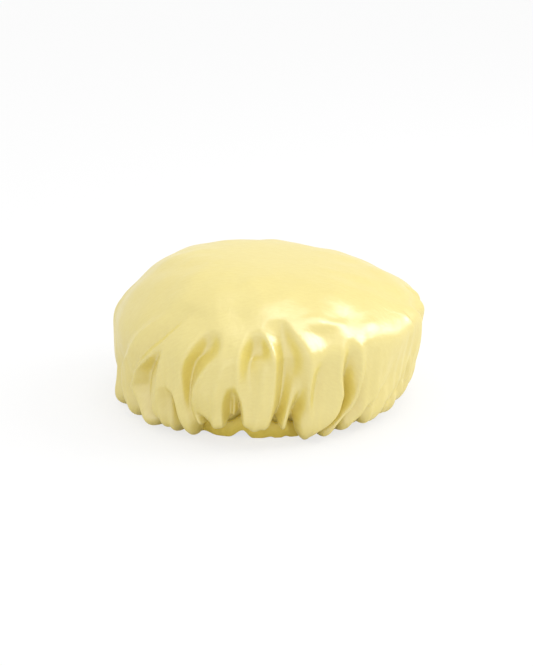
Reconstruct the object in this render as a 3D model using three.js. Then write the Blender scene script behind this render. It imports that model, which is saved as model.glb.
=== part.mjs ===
// A satin hair bonnet, puffed as if on a head and standing on its gathered band.
// Two round discs of satin, an outer shell and a lining, are gathered into a narrow band.
// The band is a satin strip folded into a channel, which holds the elastic and grips both discs.
// Millimetres, +Z up, the front is -Y, and the base stands on Z = 0.
import * as THREE from 'three';

// Driving sizes of the puff.
const puffHalfWidth = 121.9;    // radius at the widest level, before the slow swells
const crownHeight = 115.2;      // top of the crown above the surface it stands on
const widestHeight = 70.2;      // level of the widest part
const lowestHeight = 3.9;       // level to which the puff hangs down outside the band
const gatherRadius = 91;        // radius of the seam line, a head of about 57 cm round
const lowestOut = 7.8;          // the puff comes lowest this far outside the seam line
const gatherHeight = 13.8;      // level at which the satin leaves the band
const turnOut = 3.8;            // how far outside the seam line the satin turns over the band's lip
const turnDrop = 0.8;           // and how far below the gathering level

// Cloth, elastic and thread.
const satinThickness = 0.45;
const layerGap = 0.9;           // air between the shell and the lining
const bandLayerGap = 0.35;      // gap between the cloth layers inside the band
const seamAllowance = 3;        // how far the discs' edges reach down into the band
const threadRadius = 0.22;
const threadSides = 5;
const threadStepsPerSpan = 4;   // steps of a thread tube from one of its points to the next
const seatGap = 0.3;            // clearance of a piece from what it lies on

// Band: a folded strip, from its two lips at the top to its foot. The gathers lift it in waves.
const lipHeight = 12.9;         // top edge of both lips
const bellyHeight = 6;          // level at which the channel is widest
const bellyHalfWidth = 2.9;
const footHalfWidth = 2.4;
const bandWave = 6;             // the highest lift of the band, under its deepest fold
const footCut = 0.5;            // how much of the foot is pressed flat on the surface between the waves

// Elastic: a flat strip bent to a ring, its ends lapped and sewn.
const elasticWidth = 6;
const elasticThickness = 0.9;
const elasticLap = 16;
const elasticRamp = 40;         // length over which the strip steps out to lie on its own end

// Stitches.
const seamLevelInset = 1.1;     // the seam lies this far below the lips' top edges
const zigzagCount = 5;
const zigzagReach = 4;          // height of one zigzag on the elastic
const zigzagSpanShare = 0.5;    // how much of the elastic's lap the zigzag crosses
const closingStitchTop = 11.2;  // upper end of the short seam that closes the strip at the back

// Shape of the smooth puff under its folds: exponents of its quarter curves, and slow swells.
const crownRoundShares = { out: 0.6, up: 1.74 };
const underRoundShares = { out: 0.52, down: 1.31 };
const crownLean = 8.8;          // the crown sits this far towards +X
const crownTilt = 10.4;         // the crown is this much higher on the -X side
const sideDroop = 9;            // halfway up, the -X side hangs this much lower
const twoLobeShare = 0.011;     // swell at the front and back, share of the radius
const threeLobeShares = { cos: 0.012, sin: -0.014 };
const flattenShare = 0.03;      // the puff is this much less deep than wide
const flattenRiseShare = 0.25;  // and the round band gives way to that over this share of the height
const chordShare = 0.02;        // half the chord that gives the profile's outward direction
const cornerShare = 0.5;        // how much of a layer's inset raises it where it enters the band
const frontRaise = 14;          // over the middle of the front the puff ends this much higher
const frontRaiseShares = { middle: 1.01, reach: 0.07 };
const turnRaiseShare = 0.5;     // how much of that is left where the satin turns over the lip
const frontRaiseAzimuths = { left: -24.5, right: 14, fade: 7 };

// Folds, one row each, in order round the band: azimuth at the band in degrees from the front
// towards +X, and how far the fold leans by its upper end. As shares: the place of that end on the
// profile, the fold's depth, the hollow between it and the next, and the band's lift under it.
const folds = [
  { azimuth: -70, lean: -2, topShare: 0.76, depthShare: 0.7, hollowShare: 0, liftShare: 0.5 },
  { azimuth: -54, lean: -5.5, topShare: 0.55, depthShare: 0.7, hollowShare: 0, liftShare: 0.35 },
  { azimuth: -40.5, lean: -8.5, topShare: 0.58, depthShare: 0.9, hollowShare: 0, liftShare: 0.65 },
  { azimuth: -27, lean: 1.5, topShare: 0.48, depthShare: 1.0, hollowShare: 0, liftShare: 0.4 },
  { azimuth: -8.4, lean: -3.5, topShare: 0.72, depthShare: 0.85, hollowShare: 1, liftShare: 1.0 },
  { azimuth: 4.5, lean: -0.5, topShare: 0.64, depthShare: 0.8, hollowShare: 0.2, liftShare: 0.2 },
  { azimuth: 11.5, lean: -1.5, topShare: 0.46, depthShare: 0.75, hollowShare: 0, liftShare: 0.2 },
  { azimuth: 20, lean: 11.5, topShare: 0.58, depthShare: 0.95, hollowShare: 0, liftShare: 0.55 },
  { azimuth: 31, lean: 7, topShare: 0.72, depthShare: 0.7, hollowShare: 0, liftShare: 0.3 },
  { azimuth: 42, lean: 13, topShare: 0.7, depthShare: 0.6, hollowShare: 0, liftShare: 0.65 },
  { azimuth: 55, lean: 13, topShare: 0.78, depthShare: 0.6, hollowShare: 0, liftShare: 0.45 },
  { azimuth: 68, lean: 7, topShare: 0.62, depthShare: 0.6, hollowShare: 0, liftShare: 0.7 },
  { azimuth: 81, lean: 3, topShare: 0.6, depthShare: 0.7, hollowShare: 0, liftShare: 0.4 },
  { azimuth: 95, lean: 0, topShare: 0.52, depthShare: 0.8, hollowShare: 0, liftShare: 0.6 },
  { azimuth: 117, lean: -3, topShare: 0.54, depthShare: 0.9, hollowShare: 0, liftShare: 0.7 },
  { azimuth: 140, lean: 4, topShare: 0.6, depthShare: 0.8, hollowShare: 0, liftShare: 0.45 },
  { azimuth: 163, lean: 3, topShare: 0.52, depthShare: 1.0, hollowShare: 0, liftShare: 0.7 },
  { azimuth: 188.5, lean: -4, topShare: 0.56, depthShare: 0.85, hollowShare: 0, liftShare: 0.55 },
  { azimuth: 211, lean: 4, topShare: 0.52, depthShare: 0.95, hollowShare: 0, liftShare: 0.7 },
  { azimuth: 233, lean: -2, topShare: 0.6, depthShare: 0.8, hollowShare: 0, liftShare: 0.45 },
  { azimuth: 254, lean: 4, topShare: 0.54, depthShare: 0.9, hollowShare: 0, liftShare: 0.65 },
  { azimuth: 272, lean: 3, topShare: 0.66, depthShare: 0.75, hollowShare: 0, liftShare: 0.5 },
];
const foldDepth = 9;            // how deep the deepest fold sinks into the puff
const foldRiseShare = 0.24;     // a fold deepens over this share of the profile
const leanShare = 0.3;          // a fold leans over this share of the profile, above the band
const turnDepthShare = 0.35;    // how much of its depth a fold keeps where the satin turns over the lip
const hollowDepth = 7;          // how deep the satin dips between two folds, below a taut edge
const hollowShares = { middle: 0.66, reach: 0.075 };
const puffSwell = 3.2;          // how far the satin puffs out between two folds, above the band
const puffSwellShares = { middle: 0.92, reach: 0.075 };
const liftReachShare = 0.27;    // the satin follows the band's waves over this share of the profile

// How finely the satin is divided: three columns to a fold, one on the smooth crown.
const profileSamples = 240;
const columnsPerFold = 3;
const columnCount = folds.length * columnsPerFold;
const crownRowShares = [0.19, 0.34, 0.46, 0.55];
const sideRowShares = [0.64, 0.74, 0.84, 0.93, 1];

// Finishes.
const satinFinish = { color: 0xeedc9a, roughness: 0.32, metalness: 0, side: THREE.DoubleSide };
const bandFinish = { color: 0xd8bf6a, roughness: 0.36, metalness: 0, side: THREE.DoubleSide };
const elasticFinish = { color: 0xf4f1e8, roughness: 0.85, metalness: 0 };
const threadFinish = { color: 0xe6cf86, roughness: 0.6, metalness: 0 };

const lowestRadius = gatherRadius + lowestOut;
const fullTurn = 2 * Math.PI;
const mix = (a, b, t) => a + (b - a) * t;
const ramp = (t) => {
  const s = Math.min(1, Math.max(0, t));
  return s * s * (3 - 2 * s);
};

const bell = (share, { middle, reach }) => Math.exp(-(((share - middle) / reach) ** 2));

// The smooth profile from the crown's top (share 0) to its lowest line (share 1), by length along
// it. Each quarter is a superellipse: powers of the sine and cosine of one angle.
function makeProfile() {
  const points = [];
  for (let i = 0; i <= profileSamples; i += 1) {
    const angle = (i / profileSamples) * (Math.PI / 2);
    points.push({
      radius: puffHalfWidth * Math.sin(angle) ** crownRoundShares.out,
      height: mix(widestHeight, crownHeight, Math.max(0, Math.cos(angle)) ** crownRoundShares.up),
    });
  }
  for (let i = 1; i <= profileSamples; i += 1) {
    const angle = (i / profileSamples) * (Math.PI / 2);
    points.push({
      radius: mix(lowestRadius, puffHalfWidth, Math.max(0, Math.cos(angle)) ** underRoundShares.out),
      height: mix(widestHeight, lowestHeight, Math.sin(angle) ** underRoundShares.down),
    });
  }
  const along = [0];
  for (let i = 1; i < points.length; i += 1) {
    const across = points[i].radius - points[i - 1].radius;
    const down = points[i].height - points[i - 1].height;
    along.push(along[i - 1] + Math.hypot(across, down));
  }
  const total = along[along.length - 1];
  return (share) => {
    const target = share * total;
    let i = 1;
    while (i < along.length - 1 && along[i] < target) i += 1;
    const t = (target - along[i - 1]) / (along[i] - along[i - 1]);
    return {
      radius: mix(points[i - 1].radius, points[i].radius, t),
      height: mix(points[i - 1].height, points[i].height, t),
    };
  };
}
const profileAt = makeProfile();

// Outward direction of the smooth profile, as (radius, height), from a short chord.
function profileNormal(share) {
  const before = profileAt(Math.max(0, share - chordShare));
  const after = profileAt(Math.min(1, share + chordShare));
  const along = new THREE.Vector2(after.radius - before.radius, after.height - before.height).normalize();
  return new THREE.Vector2(-along.y, along.x);
}

// The two folds on either side of a column, how far the column is from one to the next, and how
// much it belongs to the nearer fold's valley.
function foldPair(column) {
  const wrapped = ((column % columnCount) + columnCount) % columnCount;
  const index = Math.floor(wrapped / columnsPerFold);
  const next = (index + 1) % folds.length;
  const t = wrapped / columnsPerFold - index;
  const nextAzimuth = folds[next].azimuth + (next === 0 ? 360 : 0);
  const here = folds[index];
  const there = folds[next];
  const nearest = t < 0.5 ? here : there;
  return { here, there, nearest, nextAzimuth, t, valley: Math.cos(Math.PI * t) ** 4 };
}

// Azimuth of a column in degrees from the front towards +X: it follows the lean of its folds.
function columnDegrees(column, share) {
  const { here, there, nextAzimuth, t } = foldPair(column);
  const atBand = mix(here.azimuth, nextAzimuth, t);
  return atBand + mix(here.lean, there.lean, t) * ramp((1 - share) / leanShare);
}

function columnAzimuth(column, share) {
  return THREE.MathUtils.degToRad(columnDegrees(column, share));
}

// How far the band and the satin at it are lifted at a column: waves that peak under the folds.
function columnLift(column) {
  const { nearest, valley } = foldPair(column);
  return bandWave * nearest.liftShare * valley;
}

// How deep a fold has sunk in at a share of the profile.
function sunkDepth(fold, share) {
  return foldDepth * fold.depthShare * ramp((share - fold.topShare) / foldRiseShare);
}

// How far the satin stands off the smooth puff: in at a fold, out or hollow between two folds.
function foldOffset(column, share) {
  const { here, nearest, valley } = foldPair(column);
  const puffed = puffSwell * bell(share, puffSwellShares);
  const hollow = hollowDepth * here.hollowShare * bell(share, hollowShares);
  return (puffed - hollow) * (1 - valley) - sunkDepth(nearest, share) * valley;
}

// How much higher the puff ends over the middle of the front.
function raiseAt(column, share) {
  const degrees = THREE.MathUtils.euclideanModulo(columnDegrees(column, share) + 180, 360) - 180;
  const { left, right, fade } = frontRaiseAzimuths;
  const inside = ramp((degrees - left + fade / 2) / fade) * ramp((right - degrees + fade / 2) / fade);
  return frontRaise * inside * bell(share, frontRaiseShares);
}

// A point of the puff from its azimuth, radius and height on the unswollen, upright outline.
function puffPoint(azimuth, radius, height, unmoved = { radius, height }) {
  const rise = THREE.MathUtils.clamp((unmoved.height - lowestHeight) / (crownHeight - lowestHeight), 0, 1);
  const slow = Math.min(1, unmoved.radius / gatherRadius) ** 2 * Math.sqrt(Math.sin(Math.PI * rise));
  const two = twoLobeShare * Math.cos(2 * azimuth);
  const three = threeLobeShares.cos * Math.cos(3 * azimuth) + threeLobeShares.sin * Math.sin(3 * azimuth);
  const out = radius + unmoved.radius * slow * (two + three);
  const x = out * Math.sin(azimuth) + crownLean * rise;
  const y = -out * Math.cos(azimuth) * (1 - flattenShare * ramp(rise / flattenRiseShare));
  const tilt = (sideDroop * Math.sin(Math.PI * rise) - crownTilt * rise) * (x / puffHalfWidth);
  return new THREE.Vector3(x, y, height + tilt);
}

// A point of the satin's outer face at a column and a share of the profile.
function clothPoint(column, share) {
  const smooth = profileAt(share);
  const normal = profileNormal(share);
  const offset = foldOffset(column, share);
  const lifted = columnLift(column) * ramp((share - 1 + liftReachShare) / liftReachShare);
  const height = smooth.height + normal.y * offset + lifted + raiseAt(column, share);
  return puffPoint(columnAzimuth(column, share), smooth.radius + normal.x * offset, height, smooth);
}

// A point of the outer face where the satin turns over the band's lip.
function turnPoint(column) {
  const { nearest, valley } = foldPair(column);
  const sunk = turnDepthShare * sunkDepth(nearest, 1) * valley;
  const raised = turnRaiseShare * raiseAt(column, 1) + columnLift(column);
  const height = gatherHeight - turnDrop + sunk + raised;
  return ringPoint(gatherRadius + turnOut, columnAzimuth(column, 1), height);
}

function bandPoint(column, radius, height) {
  return ringPoint(radius, columnAzimuth(column, 1), height + columnLift(column));
}

// The points of one column on one face of a cloth layer, from the crown to the disc's edge. On
// the puff the inset is square to the outer face's own line; in the band the layer hangs straight
// down at its own radius.
function columnPoints(column, inset, bandRadius) {
  const shares = [...crownRowShares, ...sideRowShares];
  const outer = [
    new THREE.Vector3(crownLean, 0, crownHeight),
    ...shares.map((share) => clothPoint(column, share)),
    turnPoint(column),
    bandPoint(column, bandRadius, gatherHeight + inset * cornerShare),
  ];
  const moved = outer.slice(1, -1).map((point, i) => {
    const azimuth = columnAzimuth(column, shares[i] ?? 1);
    const tangent = new THREE.Vector3(Math.cos(azimuth), Math.sin(azimuth), 0);
    const along = outer[i + 2].clone().sub(outer[i]);
    return point.clone().addScaledVector(tangent.cross(along).normalize(), inset);
  });
  return [...moved, outer[outer.length - 1], bandPoint(column, bandRadius, lipHeight - seamAllowance)];
}

// One face of a cloth layer: its apex and its rows of points, the crown's with fewer columns.
function clothFace(inset, bandRadius) {
  const columns = Array.from({ length: columnCount }, (_, k) => columnPoints(k, inset, bandRadius));
  const rows = columns[0].map((_, k) => {
    const stride = k < crownRowShares.length ? columnsPerFold : 1;
    return columns.filter((_points, column) => column % stride === 0).map((points) => points[k]);
  });
  return { apex: new THREE.Vector3(crownLean, 0, crownHeight - inset), rows };
}

function ringPoint(radius, azimuth, height) {
  return new THREE.Vector3(radius * Math.sin(azimuth), -radius * Math.cos(azimuth), height);
}

// Triangles between two rows of one face, the lower one with a whole number of times the columns:
// each upper point fans to the lower points up to the middle of its side.
function bandTriangles(upper, lower, upperStart, lowerStart, push) {
  const fine = lower.length / upper.length;
  const turnAt = Math.ceil(fine / 2);
  upper.forEach((_, i) => {
    const a = upperStart + i;
    const b = upperStart + ((i + 1) % upper.length);
    const below = (k) => lowerStart + ((i * fine + k) % lower.length);
    for (let k = 0; k < turnAt; k += 1) push(a, below(k), below(k + 1));
    push(a, below(turnAt), b);
    for (let k = turnAt; k < fine; k += 1) push(b, below(k), below(k + 1));
  });
}

// A closed cloth layer: an outer and an inner face, joined along the disc's cut edge.
function clothLayer(outerInset, outerBandRadius) {
  const faces = [
    clothFace(outerInset, outerBandRadius),
    clothFace(outerInset + satinThickness, outerBandRadius - satinThickness),
  ];
  const positions = [];
  const indices = [];
  const hemStarts = [];
  faces.forEach((face, side) => {
    const push = side === 0
      ? (a, b, c) => indices.push(a, b, c)
      : (a, b, c) => indices.push(a, c, b);
    const apexIndex = positions.length / 3;
    positions.push(...face.apex.toArray());
    let previous = null;
    face.rows.forEach((row) => {
      const start = positions.length / 3;
      row.forEach((point) => positions.push(...point.toArray()));
      if (previous === null) {
        row.forEach((_, i) => push(apexIndex, start + i, start + ((i + 1) % row.length)));
      } else {
        bandTriangles(previous.row, row, previous.start, start, push);
      }
      previous = { row, start };
    });
    hemStarts.push(previous.start);
  });
  const [outer, inner] = hemStarts;
  for (let i = 0; i < columnCount; i += 1) {
    const next = (i + 1) % columnCount;
    indices.push(outer + i, inner + i, inner + next);
    indices.push(outer + i, inner + next, outer + next);
  }
  return indexedGeometry(positions, indices);
}

function indexedGeometry(positions, indices) {
  const geometry = new THREE.BufferGeometry();
  geometry.setAttribute('position', new THREE.Float32BufferAttribute(positions, 3));
  geometry.setIndex(indices);
  geometry.computeVertexNormals();
  return geometry;
}

// Sweeps a closed section along rings of points: sections is a list of point lists, wound so
// that faces point out, and the sweep closes on itself or is capped at both ends.
function sweptSections(sections, closed) {
  const size = sections[0].length;
  const positions = sections.flat().flatMap((point) => point.toArray());
  const indices = [];
  const last = closed ? sections.length : sections.length - 1;
  for (let i = 0; i < last; i += 1) {
    const here = i * size;
    const there = ((i + 1) % sections.length) * size;
    for (let k = 0; k < size; k += 1) {
      const next = (k + 1) % size;
      indices.push(here + k, there + next, there + k);
      indices.push(here + k, here + next, there + next);
    }
  }
  if (!closed) {
    const end = (sections.length - 1) * size;
    const corners = sections[0].map((point) => new THREE.Vector2(point.flat[0], point.flat[1]));
    THREE.ShapeUtils.triangulateShape(corners, []).forEach(([a, b, c]) => {
      indices.push(a, b, c);
      indices.push(end + a, end + c, end + b);
    });
  }
  return indexedGeometry(positions, indices);
}

// A section point at an azimuth, from its distance outside the band's centreline and its height.
function sectionPoint(centreRadius, azimuth, out, height) {
  const point = ringPoint(centreRadius + out, azimuth, height);
  point.flat = [out, height];
  return point;
}

// Radii of the layers inside the band about the seam line: half a gap, a disc, a gap and a lip.
const shellBandRadius = gatherRadius + bandLayerGap / 2 + satinThickness;
const liningBandRadius = gatherRadius - bandLayerGap / 2;
const lipOuterHalf = bandLayerGap / 2 + satinThickness + bandLayerGap + satinThickness;

// Azimuths of the band's sections, one at each column, so that every piece there bends alike.
const bandAzimuths = Array.from({ length: columnCount }, (_, column) => columnAzimuth(column, 1));

// The band's lift at any azimuth, straight from one section to the next.
function liftAt(azimuth) {
  const first = bandAzimuths[0];
  const turned = first + THREE.MathUtils.euclideanModulo(azimuth - first, fullTurn);
  let column = columnCount - 1;
  while (bandAzimuths[column] > turned) column -= 1;
  const end = column + 1 < columnCount ? bandAzimuths[column + 1] : first + fullTurn;
  const t = (turned - bandAzimuths[column]) / (end - bandAzimuths[column]);
  return mix(columnLift(column), columnLift(column + 1), t);
}

// The band's section: the folded strip from its outer lip round the foot to its inner lip. The
// foot is pressed flat on the surface wherever the band isn't lifted off it.
function bandSection(azimuth) {
  const lift = liftAt(azimuth);
  const foot = Math.max(0, lift - footCut);
  const strip = (inset) => [
    [lipOuterHalf - inset, lipHeight + lift],
    [bellyHalfWidth - inset, bellyHeight + lift],
    [footHalfWidth - inset / 2, foot + inset],
  ];
  const outside = strip(0);
  const inside = strip(satinThickness);
  const mirrored = (list) => list.map(([out, height]) => [-out, height]).reverse();
  const loop = [...outside, ...mirrored(outside), ...mirrored(inside).reverse(), ...inside.reverse()];
  return loop.map(([out, height]) => sectionPoint(gatherRadius, azimuth, out, height));
}

function elasticCasing() {
  return sweptSections(bandAzimuths.map(bandSection), true);
}

// The elastic's radius at an arc length: the second end steps out to lie on the first.
const elasticRadius = gatherRadius;
const elasticFoot = satinThickness + seatGap;
const ringLength = fullTurn * elasticRadius;
function elasticRadiusAt(length) {
  const step = elasticThickness + seatGap;
  return elasticRadius + step * (ramp((length - ringLength + elasticRamp) / elasticRamp) - 0.5);
}

// The strip runs once round from its first end at the back, and on over that end.
function elasticBand() {
  const half = elasticThickness / 2;
  const start = Math.PI - elasticLap / (2 * elasticRadius);
  const end = start + (ringLength + elasticLap) / elasticRadius;
  const rounds = [...bandAzimuths, ...bandAzimuths.map((azimuth) => azimuth + fullTurn)];
  const azimuths = [start, ...rounds.filter((azimuth) => azimuth > start && azimuth < end), end];
  const sections = azimuths.map((azimuth) => {
    const radius = elasticRadiusAt((azimuth - start) * elasticRadius);
    const foot = elasticFoot + liftAt(azimuth);
    const corners = [
      [half, foot + elasticWidth],
      [half, foot],
      [-half, foot],
      [-half, foot + elasticWidth],
    ];
    return corners.map(([out, height]) => sectionPoint(radius, azimuth, out, height));
  });
  return sweptSections(sections, false);
}

// A thread ring with round section that follows the band's lip at the seam line.
function threadRing(out, height) {
  const section = (azimuth) => threadSection(azimuth, out, height + liftAt(azimuth));
  return sweptSections(bandAzimuths.map(section), true);
}

function threadSection(azimuth, out, height) {
  return Array.from({ length: threadSides }, (_, k) => {
    const angle = -(k / threadSides) * fullTurn;
    return sectionPoint(
      gatherRadius,
      azimuth,
      out + threadRadius * Math.cos(angle),
      height + threadRadius * Math.sin(angle),
    );
  });
}

// A thread tube through points that all lie near one face of the band.
function threadTube(points) {
  const circle = new THREE.Shape();
  for (let k = 0; k < threadSides; k += 1) {
    const angle = (k / threadSides) * fullTurn;
    const place = [threadRadius * Math.cos(angle), threadRadius * Math.sin(angle)];
    if (k === 0) circle.moveTo(...place);
    else circle.lineTo(...place);
  }
  circle.closePath();
  const path = new THREE.CatmullRomCurve3(points, false, 'centripetal');
  const steps = threadStepsPerSpan * (points.length - 1);
  return new THREE.ExtrudeGeometry(circle, { steps, bevelEnabled: false, extrudePath: path });
}

// Zigzag thread over the lapped ends of the elastic, on its outer face, at the back.
function elasticLapStitch() {
  const reach = seatGap + threadRadius;
  const face = elasticRadius + (elasticThickness + seatGap) / 2 + elasticThickness / 2 + reach;
  const middle = elasticFoot + liftAt(Math.PI) + elasticWidth / 2;
  const points = [];
  for (let i = 0; i <= 2 * zigzagCount; i += 1) {
    const along = (i / (2 * zigzagCount) - 0.5) * elasticLap * zigzagSpanShare;
    const height = middle + (i % 2 === 0 ? -zigzagReach / 2 : zigzagReach / 2);
    points.push(ringPoint(face, Math.PI + along / face, height));
  }
  return threadTube(points);
}

// Short seam across the band at the back, where the strip's two ends meet.
function casingClosingStitch() {
  const reach = seatGap + threadRadius;
  const upper = (closingStitchTop - bellyHeight) / (lipHeight - bellyHeight);
  const lift = liftAt(Math.PI);
  const points = [
    [mix(bellyHalfWidth, lipOuterHalf, upper) + reach, closingStitchTop + lift],
    [bellyHalfWidth + reach, bellyHeight + lift],
    [mix(bellyHalfWidth, footHalfWidth, 0.5) + reach, bellyHeight / 2 + lift],
  ];
  return threadTube(points.map(([out, height]) => ringPoint(gatherRadius + out, Math.PI, height)));
}

// The seam that joins the band to both discs: its threads lie on the lips, inside and outside.
const seamHeight = lipHeight - seamLevelInset;
const lipSlope = (bellyHalfWidth - lipOuterHalf) * (seamLevelInset / (lipHeight - bellyHeight));
const seamOut = lipOuterHalf + lipSlope + seatGap + threadRadius;

const bonnet = new THREE.Group();
bonnet.name = 'hair_bonnet';

function addPiece(name, geometry, finish) {
  const mesh = new THREE.Mesh(geometry, new THREE.MeshStandardMaterial(finish));
  mesh.name = name;
  bonnet.add(mesh);
  return mesh;
}

const shell = addPiece('outer_shell', clothLayer(0, shellBandRadius), satinFinish);
addPiece('lining', clothLayer(satinThickness + layerGap, liningBandRadius), satinFinish);
addPiece('elastic_casing', elasticCasing(), bandFinish);
addPiece('elastic_band', elasticBand(), elasticFinish);
addPiece('elastic_lap_stitch', elasticLapStitch(), threadFinish);
addPiece('seam_needle_thread', threadRing(seamOut, seamHeight), threadFinish);
addPiece('seam_bobbin_thread', threadRing(-seamOut, seamHeight), threadFinish);
addPiece('casing_closing_stitch', casingClosingStitch(), threadFinish);

// The origin is under the middle of the puff's outline.
shell.geometry.computeBoundingBox();
const middle = shell.geometry.boundingBox.getCenter(new THREE.Vector3());
bonnet.position.set(-middle.x, -middle.y, 0);
bonnet.updateMatrixWorld(true);

export default bonnet;
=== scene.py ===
"""Satin hair bonnet: a gathered shell, its lining, its band and its stitches.

Every piece is a surface worked out on a grid of two parameters, in metres, around the loaded frame.
The shell and the lining then settle in a cloth simulation.
"""

from functools import partial
from math import cos, pi, radians, sin

import bpy
import numpy as np
from bpy.props import FloatProperty, FloatVectorProperty, IntProperty, PointerProperty
from bpy.types import Operator, Panel, PropertyGroup
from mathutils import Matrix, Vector


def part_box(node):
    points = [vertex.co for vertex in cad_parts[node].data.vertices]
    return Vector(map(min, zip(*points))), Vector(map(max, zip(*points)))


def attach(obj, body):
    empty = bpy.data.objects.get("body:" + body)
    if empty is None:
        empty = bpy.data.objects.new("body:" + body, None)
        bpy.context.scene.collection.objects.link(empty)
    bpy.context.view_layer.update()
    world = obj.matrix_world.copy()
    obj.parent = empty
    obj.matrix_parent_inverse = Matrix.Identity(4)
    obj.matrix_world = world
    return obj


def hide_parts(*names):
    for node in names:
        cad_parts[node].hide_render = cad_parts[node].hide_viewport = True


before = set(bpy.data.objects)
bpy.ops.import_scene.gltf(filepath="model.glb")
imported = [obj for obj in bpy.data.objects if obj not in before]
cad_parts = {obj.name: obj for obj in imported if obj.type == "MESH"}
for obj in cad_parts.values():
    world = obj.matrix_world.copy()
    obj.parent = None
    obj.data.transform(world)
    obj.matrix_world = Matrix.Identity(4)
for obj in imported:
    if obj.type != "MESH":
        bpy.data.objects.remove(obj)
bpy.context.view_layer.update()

bl_info = {
    "name": "Satin hair bonnet",
    "version": (1, 0, 0),
    "blender": (4, 5, 0),
    "location": "3D View > Sidebar > Bonnet",
    "description": "Builds a gathered satin hair bonnet around its frame",
    "category": "Object",
}

MM = 0.001
CASING_LOW, CASING_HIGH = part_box("elastic_casing")
RING_CENTRE = (CASING_LOW + CASING_HIGH) / 2

# The band's section, as in the frame: levels, and half widths about the seam line's radius.
GATHER_RADIUS = 91 * MM
GATHER_LEVEL = 13.8 * MM
LIP_LEVEL = 12.9 * MM
LIP_HALF = 1.43 * MM
BELLY_HALF = 2.9 * MM
SATIN = 0.45 * MM
# How much the band's foot is pressed flat, and over which part of its half section.
FOOT_PRESS = 0.5 * MM
FOOT_PART = .16
# The gathered edges: how far they lie off the seam line, and how far they go down in the band.
HEM_OFF = 0.4 * MM
HEM_DROP = 3 * MM
# The elastic: its middle level, half its thickness and height, the lap, and its ends' step there.
ELASTIC_MIDDLE = 3.75 * MM
ELASTIC_HALF = (0.45 * MM, 3 * MM)
ELASTIC_LAP = 16 * MM
LAP_STEP = 0.6 * MM
LAP_RAMP = 40 * MM
# Stitches: the seam's, the lap's zigzag, and those that close the band (levels in millimetres).
SEAM_DROP = 1.1 * MM
SEAM_PART = .82
ZIGZAG_COUNT = 10
ZIGZAG_SPAN = 8 * MM
ZIGZAG_RISE = 2 * MM
ZIGZAG_LENGTH = 4.05 * MM
CLOSING_LEVELS = (3.9, 5.9, 7.9, 9.9)
CLOSING_LENGTH = 1.7 * MM
# Points along and around each piece.
CASING_GRID = (1152, 34)
ELASTIC_GRID = (900, 20)
STITCH_GRID = (8, 8)

# The puff's outline: powers of sine and cosine above and below its widest level, the part where
# its rounding fades out, and the last curve's middle points, off the lowest line and the seam.
CROWN_POWERS = (.60, 1.74)
SIDE_POWERS = (.52, 1.31)
OUTLINE_SAMPLES = 400
ROUNDING_FADE = .10
TURN_POINTS = ((-3.2 * MM, -.1 * MM), (4 * MM, 1.8 * MM))
# How the puff's width swells with the azimuth, and how much less deep than wide it is.
SWELLS = (.011, .012, .014)
DEPTH_LOSS = .03
# In front its foot is raised between two azimuths in degrees, so that the band shows.
RAISE = 16 * MM
RAISE_FROM, RAISE_TO, RAISE_FADE = -28, 17.5, 7
RAISE_SHARE, RAISE_HALF = 1.01, .10
# As parts of the way to the seam: the cut edge, and where the cloth turns into the hem.
CUT_PART, HEM_PART, HEM_REACH = 1.014, .985, .012
# How much closer the grid's rings are at the edge.
EDGE_SPACING = .22

# Heights of waves in the cloth and band, and their rows of (part of it, turns, slant, start).
CLOTH_WAVE = .45 * MM
FINE_GATHER = .22 * MM
LONG_GATHER = .75 * MM
BAND_WRINKLE = .55 * MM
CLOTH_WAVES = ((1, 5, 17, 0), (1, 8, -13, 2), (.8, 11, 29, 4), (.6, 17, -21, 1))
FINE_GATHERS = ((1, 113, 0, 0), (1, 89, 0, 1.3), (.7, 151, 0, .4))
BAND_WRINKLES = ((1, 61, 0, 0), (.8, 47, 0, 2), (.6, 83, 0, 1))
# Share at which something begins, and how much further on it has grown to its full size.
WAVE_RANGE = (.12, .3)
FINE_RANGE = (.80, .25)
LONG_RANGE = (.56, .40)
LIFT_RANGE = (.73, .27)
LOBE_RANGE = (.78, .16)
HELD_RANGE = (.93, .07)
LOOSE_RANGE = (.42, .20)
WEIGHT_STEPS = 40
# Lowest levels that the settled shell and lining may reach.
SHELL_LOWEST = .5 * MM
LINING_LOWEST = 1.6 * MM

# The folds that reach the band, as in the frame: azimuth there in degrees from the front towards
# +X, and how high each lifts the band in millimetres. The band lies on the surface between them.
BAND_FOLDS = (
    (-70, 3), (-54, 2.1), (-40.5, 3.9), (-27, 2.4), (-8.4, 6), (4.5, 1.2), (11.5, 1.2), (20, 3.3),
    (31, 1.8), (42, 3.9), (55, 2.7), (68, 4.2), (81, 2.4), (95, 3.6), (117, 4.2), (140, 2.7),
    (163, 4.2), (188.5, 3.3), (211, 4.2), (233, 2.7), (254, 3.9), (272, 3),
)
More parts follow.
